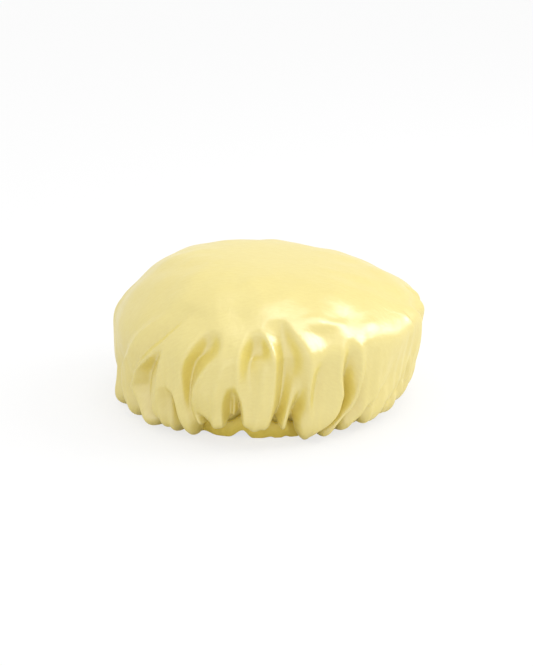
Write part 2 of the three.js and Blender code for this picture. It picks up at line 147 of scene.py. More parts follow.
# Pleat lines that show in the photograph, in order from left to right: ridges and valleys, each as
# rows of (share, azimuth, height). Share runs from 0 at the crown's top to 1 at the puff's lowest
# line, azimuth is in degrees from the front towards +X, and height is in millimetres off the smooth
# puff. The cloth runs straight from one line to the next.
FRONT_LINES = (
    ((.64, -84, 0), (.70, -84, -4), (.80, -85.5, -7), (.90, -87, -8), (1, -88, -9)),
    ((.60, -76, 0), (.80, -80, .4), (.86, -79, 1), (.93, -79, 3), (1, -79, 1.8)),
    # shade, ridge and thin crease at the far left
    ((.50, -50, 0), (.57, -54, 0), (.62, -58.5, -1), (.70, -66, -2), (.78, -72, -3.6),
     (.84, -73, -6), (.90, -71.5, -8), (1, -70, -9)),
    ((.52, -45, 0), (.56, -48.6, 1.8), (.59, -51.2, 2.6), (.67, -57.6, 2.8), (.755, -66, 2.2),
     (.85, -65.5, 2.2), (.93, -63, 3), (1, -62, 1.8)),
    ((.47, -34.6, 0), (.50, -36.6, -1.4), (.55, -39.2, -3), (.60, -43.6, -3.4), (.65, -48, -2.6),
     (.69, -51.8, -2), (.75, -57, -2), (.81, -60, -3), (.85, -58, -5), (.90, -56, -8),
     (1, -54, -10)),
    ((.47, -33, 0), (.55, -37.4, .6), (.60, -40, .8), (.635, -41.6, 2), (.68, -46.8, 2.8),
     (.73, -52.6, 2.8), (.80, -56.2, 2.2), (.85, -55.2, 1.8), (.89, -52, 2.2), (.93, -48.5, 3),
     (1, -47, 1.8)),
    # dark facet and its sharp ridge
    ((.60, -39, 0), (.63, -40.4, -1), (.66, -42.4, -4), (.70, -46, -6.5), (.73, -48.8, -7.5),
     (.80, -51, -8), (.85, -50, -7), (.89, -47.4, -7), (.93, -43.6, -9), (1, -40.5, -11)),
    ((.60, -38.2, 0), (.64, -39, 1.6), (.67, -39.2, 2.4), (.72, -39.6, 3), (.79, -41.2, 2.8),
     (.86, -42.4, 2), (.90, -42, 2), (.94, -39.8, 2.6), (1, -37.5, 1.8)),
    # narrow crease and the rim of the lobe that overhangs it
    ((.72, -38, 0), (.765, -37.6, 0), (.79, -35.8, -4), (.815, -34.8, -7), (.87, -33.4, -9),
     (.92, -31.8, -10), (1, -29.5, -10)),
    ((.72, -36.6, 0), (.775, -34.2, 1.4), (.80, -32.6, 2), (.87, -31.4, 2.4), (.92, -29.8, 2.6),
     (1, -27.6, 1.8)),
    # broad claw: its left edge, its deepest line and the bright ridge on its right
    ((.53, -23.2, 0), (.57, -25.2, .8), (.60, -26.6, 1.2), (.66, -29, 1.4), (.705, -30, 1.2),
     (.78, -29.4, 1), (.85, -28.6, .6), (.92, -26.8, .6), (1, -25.4, .6)),
    ((.545, -22.8, 0), (.56, -23.8, -3.6), (.585, -24.8, -7.5), (.62, -26, -9.5),
     (.67, -27.8, -9.5), (.72, -28.3, -8.5), (.78, -27.8, -7), (.84, -27.2, -5), (.90, -26, -3),
     (1, -24.4, -3)),
    ((.545, -21.4, 0), (.56, -21, -3.2), (.585, -21, -7), (.62, -22, -7.5), (.66, -24, -6),
     (.70, -25.6, -4.5), (.75, -26.6, -2.5), (.80, -26.8, -1), (.86, -26.2, -.4), (1, -23.4, -1)),
    ((.535, -20, 0), (.56, -18, -.4), (.60, -16.8, -.8), (.63, -17.4, 0), (.66, -19.6, 2.4),
     (.70, -22.2, 4.4), (.745, -24.4, 4.4), (.80, -25.4, 3), (.85, -25.4, 1), (.88, -24.6, 1),
     (.95, -22.6, 1.2), (1, -22, 1)),
    # pocket and the lobe beside it
    ((.80, -24, 0), (.85, -24.2, -.6), (.875, -23.4, -4), (.91, -22.4, -7), (1, -20.5, -8)),
    ((.56, -13.6, 0), (.61, -13.6, -.8), (.65, -14.2, .8), (.70, -15.6, 3), (.76, -17.2, 3),
     (.82, -18.2, 2.6), (.88, -17.8, 3), (.93, -17, 3), (1, -16, 1.8)),
    # tucked valley with its flap
    ((.70, -12.8, 0), (.75, -13.4, .8), (.79, -14, 1.5), (.85, -14.2, 2), (.90, -13.8, 2.2),
     (1, -13, 1)),
    ((.73, -12, 0), (.76, -12.3, -4), (.80, -12.8, -8), (.86, -12.8, -9), (.93, -12.4, -9),
     (1, -11.6, -9)),
    ((.73, -11.6, 0), (.76, -11.4, -3), (.79, -11.2, -4), (.83, -11.1, -4.6), (.88, -11.2, -5),
     (1, -10.2, -6)),
    ((.73, -11, 0), (.76, -10.6, -4), (.79, -9.8, -7), (.83, -9.2, -10), (.87, -8.9, -11),
     (1, -8.4, -12)),
    # middle lobe: its left rim, the hollow behind its top, its belly and its right rim
    ((.54, -7.4, 0), (.60, -9.6, 1.2), (.66, -10, 1.8), (.72, -9.8, 1.6), (.76, -9, 1.6),
     (.80, -8, 2), (.85, -7, 2.6), (.92, -6.4, 2.8), (1, -6, 1.8)),
    ((.535, -5, 0), (.56, -6, -5.5), (.60, -6.8, -9.5), (.66, -6.8, -8.4), (.70, -6.4, -5),
     (.75, -5.6, -1.6), (.80, -5, .8), (.86, -4, 3), (.93, -3, 3.4), (1, -2, 2)),
    ((.54, -3.4, 0), (.57, -2, -6), (.60, -1.8, -7.4), (.64, -1.6, -4.6), (.68, -1.4, -1),
     (.72, -1, 1), (.78, -.6, 2.6), (.86, -.2, 3.6), (.93, 0, 3.2), (1, .4, 2)),
    ((.535, -3, 0), (.56, -1.4, .2), (.587, .4, .5), (.63, 2.4, .8), (.69, 3.2, .8), (.76, 3.2, 1),
     (.82, 3, 1.6), (.87, 2.2, 2), (1, 1.6, 1.4)),
    # broad claw right of the middle, the lobe below it and its narrow valley
    ((.48, 4, 0), (.51, 4.4, -3.2), (.545, 4.7, -6), (.60, 5.2, -8.5), (.65, 5.6, -9),
     (.70, 5.8, -8.5), (.76, 5.8, -7.5), (.82, 5.6, -8), (.87, 4.9, -10), (.92, 4.5, -11.5),
     (1, 4.5, -12)),
    ((.48, 4.6, 0), (.51, 5.4, -2.4), (.545, 6.8, -4.6), (.60, 8.8, -6.4), (.65, 9.9, -6.6),
     (.70, 10, -6), (.74, 9.6, -4.2), (.79, 8.8, -1.4), (.84, 8, 1), (.89, 7.4, 2.4),
     (1, 7.8, 1.6)),
    ((.48, 5, 0), (.545, 8, -.6), (.60, 11, -.4), (.65, 12.6, .4), (.70, 13, 0), (.75, 12.8, -1.8),
     (.79, 12.3, -4.5), (.83, 11.6, -8), (.88, 10.6, -10.5), (1, 11.5, -11)),
    ((.48, 5.4, 0), (.53, 8.4, .8), (.583, 11.6, 1.8), (.625, 13.8, 2.4), (.687, 14.8, 2.8),
     (.75, 15.2, 2.4), (.80, 15.8, 2), (.85, 16.6, 1.6), (.90, 16.6, 2.2), (1, 15.4, 1.4)),
    # diagonal shade and the lobe that overlaps the deep crease
    ((.60, 22, 0), (.64, 20.6, -1), (.67, 19.6, -2.4), (.71, 18.4, -3.8), (.76, 17.8, -3.8),
     (.81, 18, -2), (.86, 19, .6), (.91, 18.6, 2), (1, 16.8, 1.6)),
    ((.60, 27, 0), (.66, 26.4, .8), (.73, 27.4, 1.6), (.793, 29.2, 3), (.853, 27.9, 3.6),
     (.908, 23.3, 3.4), (.95, 20, 2.6), (1, 18.2, 1.6)),
    ((.59, 30.6, 0), (.63, 30.4, -2.5), (.69, 30.2, -5.5), (.75, 31, -9), (.805, 31.3, -10.5),
     (.85, 30, -11), (.885, 27, -11), (.93, 22.8, -11.5), (1, 20, -11)),
    ((.59, 32, 0), (.63, 33.8, 1), (.68, 35.2, 1.8), (.74, 35.9, 2.6), (.80, 34.8, 3.2),
     (.86, 31.8, 3.2), (.91, 27.6, 2.6), (.95, 25.6, 2.6), (1, 25, 1.6)),
    ((.62, 37.2, 0), (.67, 38.4, -1.6), (.75, 38.6, -2.6), (.81, 37.6, -3.4), (.87, 35.2, -5),
     (.92, 32.6, -8), (1, 30, -10)),
    ((.62, 46, 0), (.70, 48, .4), (.76, 49.6, .6), (.80, 48.6, 1.4), (.85, 44.6, 1.8),
     (.885, 40.4, 1.8), (.92, 37, 1.6), (1, 35, .4)),
    ((.62, 50, 0), (.78, 54, -.6), (.82, 52, -1.2), (.86, 47.6, -1.6), (.90, 43, -2),
     (.94, 40.4, -3), (1, 39, -7)),
    ((.62, 57, 0), (.80, 62, .2), (.85, 57.5, .4), (.90, 52, .6), (.94, 49.6, .6), (1, 48.5, -1)),
    ((.62, 62, 0), (.74, 64.4, 0), (.82, 68.6, -.4), (.85, 67, -1.6), (.88, 62, -2.2),
     (.91, 57.6, -2.4), (.95, 55.6, -3.4), (1, 55, -7)),
    # sharp upright crease, and the flap behind it
    ((.56, 65.2, 0), (.60, 65.8, 1), (.70, 67, 1.6), (.78, 69.6, 1.6), (.84, 70.2, 1.2),
     (.88, 66, 1.2), (.92, 62, 1.2), (1, 60, -.6)),
    ((.56, 66.2, 0), (.59, 66.8, -1.2), (.64, 67.8, -2.2), (.72, 69, -2.6), (.78, 71.4, -2.4),
     (.85, 73, -2.6), (.91, 69.6, -3.6), (1, 67, -7)),
    ((.54, 73, 0), (.62, 76, 1), (.70, 78, 1.4), (.80, 79.6, 1.2), (.88, 78, 1.4), (1, 74.5, -.5)),
    ((.54, 82, 0), (.60, 83.6, -3), (.69, 85.6, -5), (.77, 86, -5), (.87, 84, -5.6), (1, 81, -8)),
)
# Azimuth at which the round of lines begins.
FIRST_AZIMUTH = -88
# Degrees to each side over which the folds are averaged, with their weights.
EDGE_BLUR = ((-.7, .12), (-.35, .22), (0, .32), (.35, .22), (.7, .12))
# Claws at the sides and back, each with a ridge on either side: azimuth at the band and at the
# upper end, share of that end, depth, and how far off the left and right ridges are.
BACK_CLAWS = (
    (95, 94, .53, 8, 2.6, 7.5), (117, 113, .54, 9.5, 7.5, 2.6), (140, 145, .62, 8.5, 3, 6.5),
    (163, 167.5, .53, 10, 2.4, 9), (188.5, 184, .56, 9, 8, 2.8), (211, 216, .53, 9.5, 2.6, 8),
    (233, 229.5, .61, 8.5, 7, 3), (254, 259, .55, 9.5, 2.6, 7.5),
)
# Smaller creases between them: azimuth at the band and at the upper end, share of that end, depth.
BACK_CREASES = (
    (106, 104, .78, 6), (128, 127, .74, 7), (152, 153, .79, 6.5), (175.5, 175, .76, 7),
    (200, 200, .78, 7), (222, 223.5, .74, 7), (243.5, 244, .79, 7), (263, 268, .80, 6),
)
# Soft dents and bulges: azimuth, share, half width in degrees, half height as a share, depth.
DENTS = (
    (20.8, .55, 6, .05, 2.8), (18, .49, 5, .035, -.8), (-32, .50, 8, .05, 1.2),
    (-14, .47, 6, .04, .8), (41, .56, 6, .06, -1.4), (27, .53, 7, .05, -1.6),
)

# The photograph's size and the place in it that the camera aims at, in pixels, and its level.
PHOTO_SIZE = (533, 666)
PHOTO_AIM = (260.9, 322.8)
AIM_LEVEL = .06
FLOOR_HALF = 6
FLOOR_LEVEL = -.0001
# Towards the brightest part of the sky.
BRIGHT_SKY = (.36, -.32, .876)
# Lamps: name, place off the aim, size, and the setting that holds the power.
LAMPS = (
    ("key", (1.0, .10, .80), (.6, .7), "key_power"),
    ("overhead", (.25, -.05, 1.2), (.9, .35), "overhead_power"),
    ("front", (-.3, -1.4, .5), (1.2, 1.0), "front_power"),
)

Length = partial(FloatProperty, unit="LENGTH")
Share = partial(FloatProperty, subtype="FACTOR", min=0, max=1)
Colour = partial(FloatVectorProperty, subtype="COLOR", size=3, min=0, max=1)


class BonnetSizes(PropertyGroup):
    """Sizes of the puff and of its sewing."""

    half_width: Length(
        name="Half width", description="Radius at the widest level", default=.1219, min=.05)
    crown_height: Length(
        name="Crown height", description="Top of the crown above the surface", default=.1152,
        min=.05)
    widest_level: Length(
        name="Widest level", description="Level of the widest part", default=.0702, min=.02)
    lowest_radius: Length(
        name="Lowest radius", description="Radius where the puff comes lowest", default=.0988,
        min=.05)
    lowest_level: Length(
        name="Lowest level", description="Level of the puff's lowest line", default=.0039, min=0)
    crown_lean: Length(
        name="Crown lean", description="The crown leans this far to +X", default=.0088)
    crown_tilt: Length(
        name="Crown tilt", description="The crown is this much lower at +X", default=.0104)
    side_droop: Length(
        name="Side droop", description="The -X side hangs this much lower", default=.0090)
    cut_diameter: Length(
        name="Cut diameter", description="Diameter of each flat satin disc", default=.46, min=.2)
    lining_gap: Length(
        name="Lining gap", description="From the shell to the lining", default=.0014, min=.0005)
    rings: IntProperty(
        name="Rings", description="Rings of faces from the crown to the band", default=100, min=20,
        max=150)
    fold_scale: FloatProperty(
        name="Fold scale", description="Height of all folds, as a share of the drawn ones",
        default=1.3, min=0)
    stitch_pitch: Length(
        name="Stitch pitch", description="From one stitch to the next", default=.0025, min=.001)
    thread_radius: Length(
        name="Thread radius", description="Half the thread's thickness", default=.00022, min=.00005)


class Settling(PropertyGroup):
    """How the satin settles in the cloth simulation."""

    frames: IntProperty(
        name="Frames", description="Frames that the simulation runs", default=22, min=2, max=60)
    mass: FloatProperty(
        name="Mass", description="Mass of each of the cloth's points in kilograms", default=.0008,
        min=.0001, precision=4)
    stiffness: FloatProperty(
        name="Stiffness", description="How hard the cloth is to stretch", default=12, min=0)
    bending: FloatProperty(
        name="Bending", description="How hard the cloth is to bend", default=.2, min=0)
    looseness: Share(
        name="Looseness", description="How much more cloth there is below the crown", default=.10)
    pressure: FloatProperty(
        name="Pressure", description="Pressure of the air that puffs the cloth out", default=2.5)
    grip: Share(
        name="Grip", description="How firmly the cloth keeps its place above the seam", default=.16)


class SatinFinish(PropertyGroup):
    """Colours and weave of the cloth, thread and elastic."""

    satin: Colour(
        name="Satin", description="Colour of the shell", default=(.78, .645, .125))
    lining: Colour(
        name="Lining", description="Colour of the lining", default=(.78, .645, .20))
    # The band is the shell's satin. Its colour is lighter and more saturated than the shell's:
    # painted light that lifts the band out of its shade.
    band: Colour(name="Band", description="Colour of the band", default=(.86, .70, .13))
    thread: Colour(
        name="Thread", description="Colour of the thread", default=(.74, .60, .22))
    elastic: Colour(
        name="Elastic", description="Colour of the elastic", default=(.80, .77, .68))
    roughness: Share(name="Roughness", description="Roughness of the satin", default=.35)
    thread_pitch: Length(
        name="Weave pitch", description="From one thread of the weave to the next", default=.00028,
        min=.00005)


class Studio(PropertyGroup):
    """Camera and lights."""

    elevation: FloatProperty(
        name="Camera elevation", description="Angle above the surface", default=radians(18),
        subtype="ANGLE")
    distance: Length(
        name="Camera distance", description="From the camera to its aim", default=1.4, min=.3)
    lens: FloatProperty(
        name="Lens", description="Focal length in millimetres", default=96.8, min=10)
    key_power: FloatProperty(
        name="Key power", description="Power of the large soft lamp in watts", default=5, min=0)
    overhead_power: FloatProperty(
        name="Overhead power", description="Power of the lamp above in watts", default=1.6, min=0)
    front_power: FloatProperty(
        name="Front power", description="Power of the lamp by the camera in watts", default=1.0,
        min=0)
    fill: FloatProperty(
        name="Fill", description="Strength of the even light away from the bright sky", default=.86,
        min=0)
    sky: FloatProperty(
        name="Sky", description="Strength of the even light from the bright sky", default=1.0,
        min=0)


def smoothstep(x, start=0, reach=1):
    """0 up to the start and 1 past the reach; between, 3t^2 - 2t^3 with t = (x - start) / reach."""
    t = np.clip((x - start) / reach, 0, 1)
    return t * t * (3 - 2 * t)


def soft_interp(x, knots, values, blur):
    """Straight lines through the knots, averaged over a short reach so that corners turn softly."""
    return sum(np.interp(x + step, knots, values) for step in np.linspace(-1, 1, 5) * blur) / 5


def wave_sum(rows, azimuth, share=0):
    """The sum of height * cos(turns * azimuth + slant * share + start) over the rows."""
    return sum(height * np.cos(turns * azimuth + slant * share + start)
               for height, turns, slant, start in rows)


def half_turn(degrees):
    """The same angle in degrees, from -180 to 180."""
    return (degrees + 180) % 360 - 180


def path_length(radius, level):
    """Length along a line of points, up to each of them."""
    return np.r_[0, np.cumsum(np.hypot(np.diff(radius), np.diff(level)))]


def disc_grid(rings):
    """A square grid folded onto a disc: how far each point is from the middle, and its azimuth.

    Ring = max(|u|, |v|), and the angle runs evenly round each ring. The distance is
    (1 + c) ring - c ring^2, which is 1 at the cut edge and has closer rings there.
    """
    side = np.linspace(-1, 1, 2 * rings + 1)
    u, v = np.meshgrid(side, side, indexing="ij")
    wide = np.abs(u) >= np.abs(v)
    with np.errstate(divide="ignore", invalid="ignore"):
        angle = np.where(wide, pi / 4 * v / u, pi / 2 - pi / 4 * u / v)
    angle = np.nan_to_num(angle) + pi * np.where(wide, u < 0, v < 0)
    ring = np.maximum(np.abs(u), np.abs(v))
    return (1 + EDGE_SPACING) * ring - EDGE_SPACING * ring ** 2, angle + pi / 2


def puff_profile(sizes):
    """Radius, level and share along the puff's smooth outline, from the crown's top to the seam.

    From the top to the widest level: radius = half width * sin^a, level = widest + rise * cos^b.
    From there to the lowest line: radius runs inwards with cos^c, level falls with sin^d.
    Both are rounded by averaging with the weights exp(-x^2), which fades out at the lowest line.
    Past share 1 a cubic curve turns back up over the band's lip and ends at the seam.
    """
    t = np.linspace(0, pi / 2, OUTLINE_SAMPLES)
    rise = sizes.crown_height - sizes.widest_level
    drop = sizes.widest_level - sizes.lowest_level
    inwards = sizes.half_width - sizes.lowest_radius
    (a, b), (c, d) = CROWN_POWERS, SIDE_POWERS
    radius = np.r_[sizes.half_width * np.sin(t) ** a,
                   sizes.lowest_radius + inwards * np.clip(np.cos(t[1:]), 0, 1) ** c]
    level = np.r_[sizes.widest_level + rise * np.clip(np.cos(t), 0, 1) ** b,
                  sizes.widest_level - drop * np.sin(t[1:]) ** d]
    along = path_length(radius, level)
    side = along[-1]
    even = np.linspace(0, side, OUTLINE_SAMPLES * 2)
    fade = np.clip((side - even) / (side * ROUNDING_FADE), 0, 1)
    reach = OUTLINE_SAMPLES // 8
    bell = np.exp(-np.linspace(-2.2, 2.2, 2 * reach + 1) ** 2)
    rounded = []
    for line, mirror in ((radius, -1), (level, 1)):
        line = np.interp(even, along, line)
        padded = np.r_[mirror * line[reach:0:-1], line, line[-1] + np.zeros(reach)]
        average = np.convolve(padded, bell / bell.sum(), "valid")
        rounded.append(line + fade * (average - line))
    u = np.linspace(0, 1, OUTLINE_SAMPLES // 4)[1:]
    (out_first, up_first), (out_last, up_last) = TURN_POINTS
    controls = np.array(((sizes.lowest_radius, sizes.lowest_level),
                         (sizes.lowest_radius + out_first, sizes.lowest_level + up_first),
                         (GATHER_RADIUS + out_last, GATHER_LEVEL + up_last),
                         (GATHER_RADIUS + HEM_OFF, GATHER_LEVEL)))
    weights = np.stack(((1 - u) ** 3, 3 * u * (1 - u) ** 2, 3 * u * u * (1 - u), u ** 3))
    turn = weights.T @ controls
    radius, level = np.r_[rounded[0], turn[:, 0]], np.r_[rounded[1], turn[:, 1]]
    return radius, level, path_length(radius, level) / side


def band_lift(azimuth):
    """How far a fold lifts the soft band.

    Its height * cos^4(pi t), where t runs from 0 at one fold to 1 at the next.
    """
    places, lifts = (np.array(column, float) for column in zip(*BAND_FOLDS))
    places, lifts = np.r_[places, places[0] + 360], np.r_[lifts, lifts[0]]
    angles = (np.degrees(azimuth) - places[0]) % 360 + places[0]
    index = np.clip(np.searchsorted(places, angles, "right") - 1, 0, len(places) - 2)
    t = (angles - places[index]) / (places[index + 1] - places[index])
    return np.where(t < .5, lifts[index], lifts[index + 1]) * np.cos(pi * t) ** 4 * MM


def back_lines():
    """Pleat lines of the sides and back: two ridges and a valley per claw, and the creases."""
    lines = []
    for band, top, reach, deep, left, right in BACK_CLAWS:
        for side, away in ((-1, left), (1, right)):
            lines.append((
                (reach - .02, top + side * .8, 0), (reach + .05, top + side * away * .7, 1),
                (reach + .12, .7 * top + .3 * band + side * away, 2),
                (.80, .3 * top + .7 * band + side * away, 1.8),
                (.92, band + side * 4.6, 2.4), (1, band + side * 4.2, .8)))
        lines.append((
            (reach - .01, top, 0), (reach + .03, top, -.5 * deep),
            (reach + .10, .7 * top + .3 * band, -deep), (.80, .3 * top + .7 * band, -deep),
            (1, band, -deep - 1)))
    for band, top, reach, deep in BACK_CREASES:
        lines.append(((reach, top, 0), (reach + .06, .6 * top + .4 * band, -.5 * deep),
                      (.92, band, -.8 * deep), (1, band, -deep)))
    return tuple(sorted(lines, key=lambda rows: rows[-1][1]))


def pleat_height(azimuth, share):
    """Height of the cloth off the smooth puff, in millimetres, from the pleat lines.

    At each share the lines are at least half a degree apart. Between two lines the height runs
    straight; towards the band it becomes sin(pi t / 2) from the lower line to the higher one, so
    that lobes turn round and creases stay sharp. The average over nearby azimuths rounds the edges.
    """
    lines = FRONT_LINES + back_lines()
    s = share.ravel()
    places = np.empty((len(lines), s.size))
    heights = np.empty_like(places)
    for index, rows in enumerate(lines):
        knots, place, height = (np.array(column, float) for column in zip(*rows))
        places[index] = soft_interp(s, knots, place, .008)
        heights[index] = soft_interp(s, knots, height, .006)
    apart = .5 * np.arange(len(lines))[:, None]
    places = np.maximum.accumulate(places - apart, 0) + apart
    places = np.concatenate((places[-1:] - 360, places, places[:1] + 360))
    heights = np.concatenate((heights[-1:], heights, heights[:1]))
    angles = (np.degrees(azimuth).ravel() - FIRST_AZIMUTH) % 360 + FIRST_AZIMUTH
    rounder = smoothstep(s, *LOBE_RANGE)
    columns = np.arange(s.size)
    total = 0
    for step, weight in EDGE_BLUR:
        turned = angles + step
        index = np.clip((places <= turned).sum(0) - 1, 0, len(places) - 2)
        before, after = places[index, columns], places[index + 1, columns]
        low, high = heights[index, columns], heights[index + 1, columns]
        t = np.clip((turned - before) / np.maximum(after - before, 1e-6), 0, 1)
        rise = np.where(low <= high, t, 1 - t)
        eased = rise + rounder * (np.sin(pi / 2 * rise) - rise)
        total = total + weight * (np.minimum(low, high) + np.abs(high - low) * eased)
    return total.reshape(share.shape)


def fold_depth(azimuth, share):
    """Depth of all folds in metres: the pleat lines and the soft dents.

    Each dent is its depth * exp(-x^2 - y^2), steeper above its middle than below.
    """
    depth = -pleat_height(azimuth, share)
    for centre, middle, wide, tall, deep in DENTS:
        across = half_turn(np.degrees(azimuth) - centre) / wide
        along = (share - middle) / (np.where(share < middle, .5, 1.4) * tall)
        depth = depth + deep * np.exp(-across ** 2 - along ** 2)
    return depth * MM


def undulation(azimuth, share):
    """Slow swells of the soft cloth: cosines that cross each other, weak on the crown."""
    return CLOTH_WAVE * wave_sum(CLOTH_WAVES, azimuth, share) * smoothstep(share, *WAVE_RANGE)


def pucker(azimuth, share):
    """Fine gathers above the seam: high waves that fade within a few centimetres of the band.

    Longer ones reach up to the puff's widest line, and come and go with slow waves round the band.
    """
    slant = azimuth + .10 * share * np.cos(3 * azimuth)
    gathers = (np.cos(47 * slant + 1) * np.cos(6 * azimuth + 2)
               + np.cos(67 * slant) * np.cos(5 * azimuth)
               + .7 * np.cos(83 * slant + 2) * np.sin(7 * azimuth))
    return (FINE_GATHER * smoothstep(share, *FINE_RANGE) * wave_sum(FINE_GATHERS, azimuth)
            + LONG_GATHER * smoothstep(share, *LONG_RANGE) * gathers)


def cloth_surface(sizes, azimuth, share, inset):
    """Points of the cloth at each azimuth and share.

    The outline is turned about the upright axis, swollen with the azimuth, tipped, and moved
    inwards along its normal by the folds and the inset. Its foot is lifted with the band.
    """
    radius, level, shares = puff_profile(sizes)
    seam = shares[-1]
    r, z = np.interp(share, shares, radius), np.interp(share, shares, level)
    step = .008
    before = np.abs(share - step)
    across_r = (np.interp(share + step, shares, radius)
                - np.interp(before, shares, radius) * np.sign(share - step))
    across_z = np.interp(share + step, shares, level) - np.interp(before, shares, level)
    size = np.hypot(across_r, across_z)
    rise = np.clip((z - sizes.lowest_level) / (sizes.crown_height - sizes.lowest_level), 0, 1)
    double, triple, slanted = SWELLS
    swell = np.minimum(1, r / GATHER_RADIUS) ** 2 * np.sqrt(np.sin(pi * rise))
    swell = 1 + swell * (double * np.cos(2 * azimuth) + triple * np.cos(3 * azimuth)
                         - slanted * np.sin(3 * azimuth))
    closing = 1 - smoothstep(share, 1, seam - 1)
    folds = (sizes.fold_scale * fold_depth(azimuth, share) + undulation(azimuth, share)
             + pucker(azimuth, share))
    inwards = folds * closing + inset
    out = r * swell + across_z / size * inwards
    up = z - across_r / size * inwards
    x = out * np.sin(azimuth) + sizes.crown_lean * rise
    y = -out * np.cos(azimuth) * (1 - DEPTH_LOSS * smoothstep(rise * 4))
    side = x / sizes.half_width
    up = up - sizes.crown_tilt * rise * side + sizes.side_droop * np.sin(pi * rise) * side
    degrees = half_turn(np.degrees(azimuth))
    window = (smoothstep(degrees, RAISE_FROM, RAISE_FADE)
              * smoothstep(-degrees, -RAISE_TO, RAISE_FADE))
    raised = RAISE * window * np.exp(-((share - RAISE_SHARE) / RAISE_HALF) ** 2) * closing
    up = up + band_lift(azimuth) * smoothstep(share, *LIFT_RANGE) + raised
    return np.stack((x, y, up), -1)


def add_object(name, data):
    """A new object in the scene."""
    item = bpy.data.objects.new(name, data)
    bpy.context.scene.collection.objects.link(item)
    return item


def make_object(name, points, faces, uv, material):
    """A smooth mesh object at the origin from points, quads and one UV pair per point."""
    points = points.reshape(-1, 3) + np.array((RING_CENTRE.x, RING_CENTRE.y, 0))
    mesh = bpy.data.meshes.new(name)
    mesh.from_pydata(points.tolist(), [], faces.tolist())
    layer = mesh.uv_layers.new(name="UVMap")
    layer.data.foreach_set("uv", uv.reshape(-1, 2)[faces.ravel()].astype(np.float32).ravel())
    mesh.polygons.foreach_set("use_smooth", [True] * len(mesh.polygons))
    mesh.materials.append(material)
    mesh.update()
    return add_object(name, mesh)


def grid_faces(rows, columns, wrap_rows=False, wrap_columns=False):
    """Quads of a grid whose points are numbered row by row, closed on itself where asked."""
    i = np.arange(rows if wrap_rows else rows - 1)[:, None]
    j = np.arange(columns if wrap_columns else columns - 1)[None, :]
    up, across = (i + 1) % rows, (j + 1) % columns
    corners = (i * columns + j, up * columns + j, up * columns + across, i * columns + across)
    return np.stack(np.broadcast_arrays(*corners), -1).reshape(-1, 4)


def cloth_disc(name, sizes, inset, hem_off, material, facing):
    """A gathered disc: the cloth surface to the seam, then straight down by the seam allowance."""
    share, azimuth = disc_grid(sizes.rings)
    seam = puff_profile(sizes)[2][-1]
    cut = seam * CUT_PART
    share = share * cut
    points = cloth_surface(sizes, azimuth, np.minimum(share, seam), inset)
    hem = smoothstep(share, seam * HEM_PART, seam * HEM_REACH)[..., None]
    drop = np.clip((share - seam) / (cut - seam), 0, 1)
    level = GATHER_LEVEL - (GATHER_LEVEL - LIP_LEVEL + HEM_DROP) * drop + band_lift(azimuth)
    points = points * (1 - hem) + carried_section(azimuth, hem_off, level) * hem
    flat = share / cut * sizes.cut_diameter / 2
    uv = np.stack((flat * np.sin(azimuth), -flat * np.cos(azimuth)), -1)
    return make_object(name, points, grid_faces(*share.shape)[:, ::facing], uv, material)


def outward(azimuth):
    """Level unit vectors from the band's axis outwards."""
    return np.stack((np.sin(azimuth), -np.cos(azimuth), 0 * azimuth), -1)


def carried_section(azimuth, out, level):
    """Points of a section carried round the band: out from the seam line's radius, and level."""
    r = GATHER_RADIUS + out
    return np.stack((r * np.sin(azimuth), -r * np.cos(azimuth), level), -1)


def casing_out(azimuth, level):
    """Half the band's width at a level.

    It is widest in the middle of its height, lip + (belly - lip) * sin^0.8, and wrinkled there.
    """
    belly = np.sin(pi * np.clip(level / LIP_LEVEL, 0, 1))
    waves = wave_sum(BAND_WRINKLES, azimuth) / 2.4
    return LIP_HALF + (BELLY_HALF - LIP_HALF) * belly ** .8 + BAND_WRINKLE * waves * belly


def squared(wave):
    """sign(w) |w|^0.4, which makes a rounded rectangle of a circle's sine and cosine."""
    return np.sign(wave) * np.abs(wave) ** .4


def tube_faces(rings, sides):
    """Quads of a tube of rings, with both ends closed by strips from side to side."""
    j = np.arange(sides // 2 - 1)
    cap = np.stack((j, j + 1, sides - 2 - j, sides - 1 - j), -1)
    walls = grid_faces(rings, sides, False, True)[:, ::-1]
    return np.concatenate((walls, cap + (rings - 1) * sides, cap[:, ::-1]))


def stitches(name, middle, along, out, length, radius, material):
    """Separate stitches, each a short tube that arches over the cloth and dips in at both ends.

    Along each, s runs from -1 to 1: thickness is radius * sqrt(1 - (0.97 s)^6), and the middle line
    rises by 1.2 radius * (1 - s^4) less 0.3 radius.
    """
    rings, sides = STITCH_GRID
    s = np.linspace(-1, 1, rings)[None, :, None, None]
    turn = np.linspace(0, 2 * pi, sides, endpoint=False)[None, None, :, None]
    middle, along, out = (part[:, None, None, :] for part in (middle, along, out))
    along = along / np.linalg.norm(along, axis=-1, keepdims=True)
    side = np.cross(along, out)
    thick = radius * np.sqrt(1 - (.97 * s) ** 6)
    arch = radius * (1.2 * (1 - s ** 4) - .3)
    points = (middle + along * (s * length / 2) + out * (arch + thick * np.cos(turn))
              + side * thick * np.sin(turn))
    faces = tube_faces(rings, sides) + np.arange(len(points))[:, None, None] * rings * sides
    uv = np.stack(np.broadcast_arrays((s * length / 2)[..., 0], (turn * radius)[..., 0]), -1)
    uv = np.broadcast_to(uv, points.shape[:3] + (2,))
    return make_object(name, points, faces.reshape(-1, 4), uv, material)


def node_tree(name):
    """A new material's node tree with its shader node."""
    material = bpy.data.materials.new(name)
    material.use_nodes = True
    tree = material.node_tree
    return material, tree, tree.nodes["Principled BSDF"]


